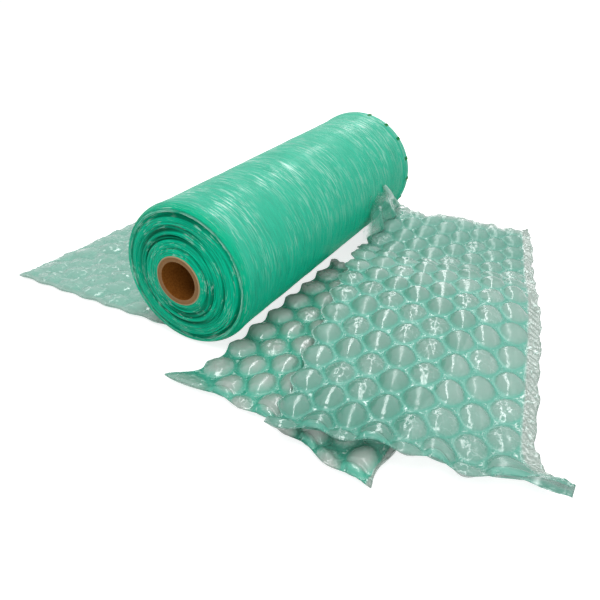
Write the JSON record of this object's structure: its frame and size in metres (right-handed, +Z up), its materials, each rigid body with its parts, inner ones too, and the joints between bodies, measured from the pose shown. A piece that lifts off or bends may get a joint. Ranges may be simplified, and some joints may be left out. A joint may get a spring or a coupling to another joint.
{
  "type": "air pillow film roll",
  "caption": "Roll of green bubble-quilt packing film on a cardboard core, lying on its side, with inflated and slack lengths of the film spread on the floor beside it.",
  "frame": {"origin": "middle of the small flat spot on which the roll rests, under the middle of its length", "axes": "+Y along the roll's axis, away from the end that shows; +X across the roll, towards the inflated sheets; +Z up"},
  "size_m": [0.8153, 0.6744, 0.1878],
  "materials": {
    "core_card": "matte spiral-wound board",
    "wound_film": "wound polyethylene film, finely wrinkled",
    "slack_film": "thin crumpled translucent film",
    "inflated_film": "thin inflated translucent film"
  },
  "bodies": {
    "root": {"core": "core_card", "film_roll": "wound_film", "free_end": "slack_film", "lower_sheet": "inflated_film", "top_sheet": "inflated_film"}
  },
  "joints": []
}
